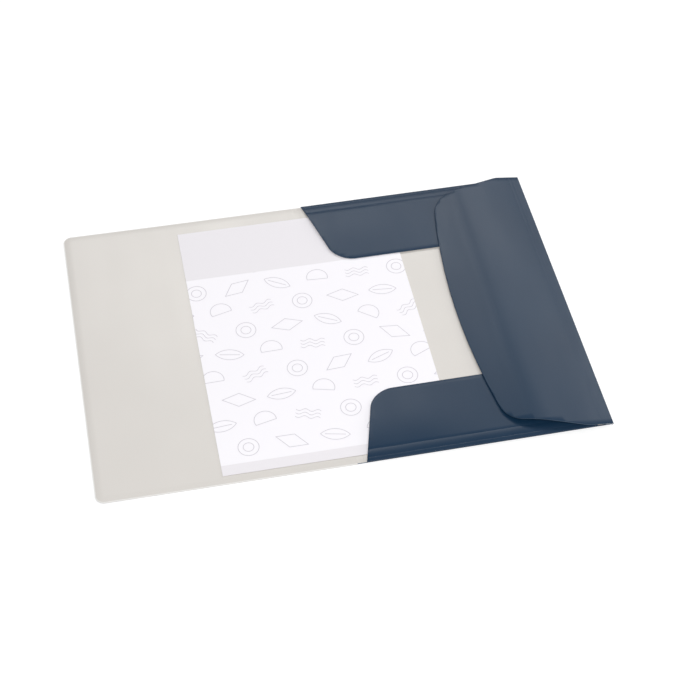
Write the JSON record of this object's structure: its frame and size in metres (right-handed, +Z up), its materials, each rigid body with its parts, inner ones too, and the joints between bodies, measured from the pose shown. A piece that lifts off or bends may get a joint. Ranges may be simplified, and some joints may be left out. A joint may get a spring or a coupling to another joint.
{
  "type": "elastic folder",
  "caption": "Three-flap document folder of scored plastic foil, lying open with a loose sheet in it, its end flaps and arched side flap folded in and an elastic strap under the back.",
  "frame": {"origin": "bottom centre of the open folder, at table height", "axes": "+X across the open width from the front cover to the side flap, +Y from the near edge to the far edge, +Z up"},
  "size_m": [0.4608, 0.3216, 0.01],
  "materials": {
    "blue_foil": "matt polypropylene foil, slightly velvety",
    "grey_foil": "satin polypropylene foil",
    "paper": "uncoated",
    "braid": "flat woven elastic",
    "clip_plastic": "moulded"
  },
  "bodies": {
    "back": {"back_with_end_flaps": "blue_foil", "insert_sheet": "paper", "elastic_strap": "braid", "elastic_clip_near": "clip_plastic", "elastic_clip_far": "clip_plastic"},
    "spine": {"spine": "grey_foil"},
    "front_cover": {"front_cover": "grey_foil"},
    "side_flap": {"side_flap": "blue_foil"}
  },
  "joints": [
    {"name": "spine_crease", "type": "hinge", "parent": "back", "child": "spine", "pos_m": [0.00407, 0, 0.0007], "axis": [0, 1, 0], "range_deg": [0, 90], "deforming": ["insert_sheet"]},
    {"name": "cover_crease", "type": "hinge", "parent": "spine", "child": "front_cover", "pos_m": [-0.00792, 0, 0.0007], "axis": [0, 1, 0], "range_deg": [0, 90], "deforming": ["insert_sheet"]},
    {"name": "side_flap_fold", "type": "hinge", "parent": "back", "child": "side_flap", "pos_m": [0.23058, 0, 0.00232], "axis": [0, 1, 0], "range_deg": [0, 170]}
  ]
}
